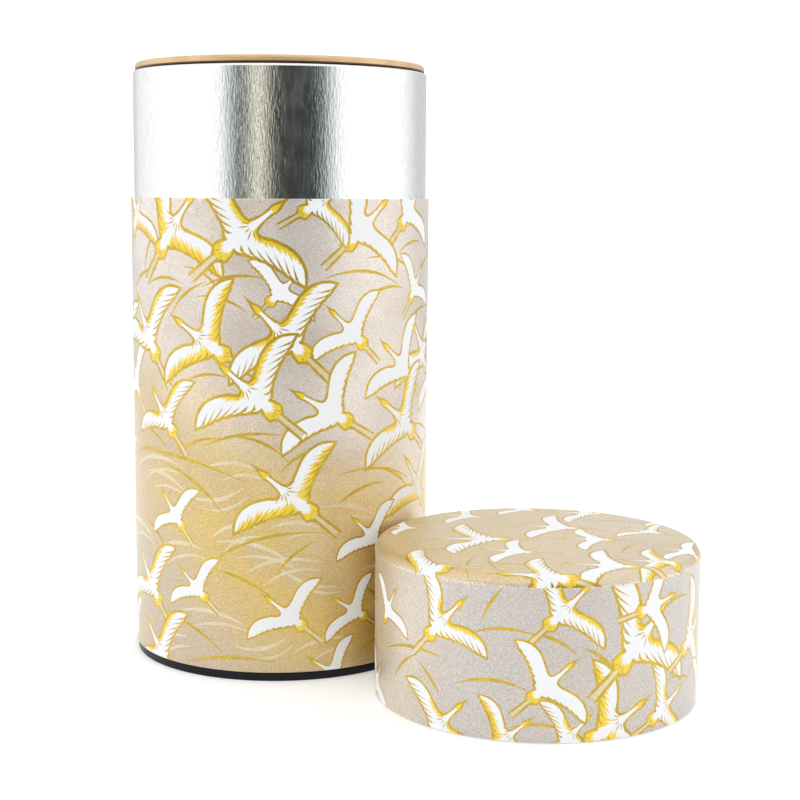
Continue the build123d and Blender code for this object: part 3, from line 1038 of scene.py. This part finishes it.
# ---- camera, floor and light ------------------------------
def add_camera():
    """The camera, aimed past the tin's axis so that the lid is in view too."""
    data = bpy.data.cameras.new("camera")
    data.lens, data.sensor_width, data.clip_start = LENS, SENSOR, CLIP_START
    pose = Matrix.Rotation(radians(CAMERA_BEARING), 4, "Z")
    pose @= Matrix.Translation((0, -CAMERA_DISTANCE, CAMERA_HEIGHT))
    for angle, axis in ((-CAMERA_TURN, "Z"), (90 - CAMERA_DIP, "X"), (CAMERA_ROLL, "Z")):
        pose @= Matrix.Rotation(radians(angle), 4, axis)
    camera = bpy.data.objects.new("camera", data)
    camera.matrix_world = pose
    bpy.context.collection.objects.link(camera)
    bpy.context.scene.camera = camera


def add_floor():
    """A plain pale table, bright enough to run into the white behind it."""
    material, tree = blank("pale_table", Roughness=0.7, Emission_Strength=0.3, Emission_Color=grey(1))
    paper = noise(tree, 900, 3, 0.6)
    wired(material, Base_Color=blended(tree, paper, grey(0.82), grey(0.86)))
    disc = bmesh.new()
    bmesh.ops.create_circle(disc, cap_ends=True, radius=TABLE_R, segments=128)
    floor = moulded("table", disc, [material])
    floor.location = (LID_X * MM / 2, 0, 0)


# the light round the tin: degrees to the right of the camera as seen from the tin, level, and tint
COOL, WARM, PLAIN = (0.9, 1.0, 1.02), (1.0, 0.965, 0.80), (1, 1, 1)
SURROUND = [
    (-180, 0.58, PLAIN), (-152, 0.58, PLAIN), (-146, 0.78, PLAIN), (-122, 0.88, PLAIN), (-105, 1.0, PLAIN),
    (-47, 1.0, PLAIN), (-39, 0.42, COOL), (-33, 0.08, COOL), (-29, 0.06, PLAIN), (-23, 0.32, WARM),
    (-17, 1.12, WARM), (-12, 0.35, WARM), (-6, 0.02, PLAIN), (-1, 0.06, WARM), (4, 0.0, PLAIN),
    (9, 0.07, COOL), (14, 0.0, PLAIN), (19, 0.07, COOL), (24, 0.01, COOL), (31, 0.05, COOL),
    (37, 0.4, COOL), (46, 1.0, PLAIN), (104, 1.0, PLAIN), (116, 0.84, PLAIN), (125, 0.7, PLAIN),
    (131, 0.56, PLAIN), (180, 0.58, PLAIN),
]
DARK_TOP, DARK_FADE = 12, 32  # elevations between which the dark gap ends, in degrees
TENT_TOP, TENT_LIGHT = 0.95, 1.27
TABLE_R = 0.7  # metres


def add_light():
    """A white tent of light with a dark gap round the camera, and plain white for the background."""
    world = bpy.data.worlds.new("tent")
    bpy.context.scene.world = world
    world.use_nodes = True
    tree = world.node_tree
    way = node(tree, "TexCoord", {}, "Generated")
    turned = node(tree, "Mapping", {"Vector": way, "Rotation": (0, 0, -radians(CAMERA_BEARING))})
    x, y, z = node(tree, "SeparateXYZ", {0: turned}).node.outputs
    bearing = worked(tree, "ARCTAN2", x, product(tree, y, -1.0))
    share = mapped(tree, bearing, -pi, pi)
    share.node.interpolation_type = "LINEAR"
    ramp = tree.nodes.new("ShaderNodeValToRGB")
    tree.links.new(share, ramp.inputs[0])
    stops = ramp.color_ramp.elements
    for _ in SURROUND[2:]:
        stops.new(1)
    for stop, (angle, level, tint) in zip(stops, SURROUND):
        stop.position = (angle + 180) / 360
        stop.color = [level * part for part in tint] + [1]
    high = mapped(tree, z, sin(radians(DARK_TOP)), sin(radians(DARK_FADE)))
    tent = blended(tree, high, ramp.outputs[0], grey(TENT_TOP))
    seen = node(tree, "LightPath", {}, "Is Camera Ray")
    colour = blended(tree, seen, tent, grey(1))
    lamp = tree.nodes["Background"]
    tree.links.new(colour, lamp.inputs["Color"])
    lamp.inputs["Strength"].default_value = TENT_LIGHT
    bpy.context.scene.view_settings.view_transform = "Standard"


add_camera()
add_light()
add_floor()
collar_sleeve()
body_wall()
base()
inner_lid()
outer_lid()
papers()
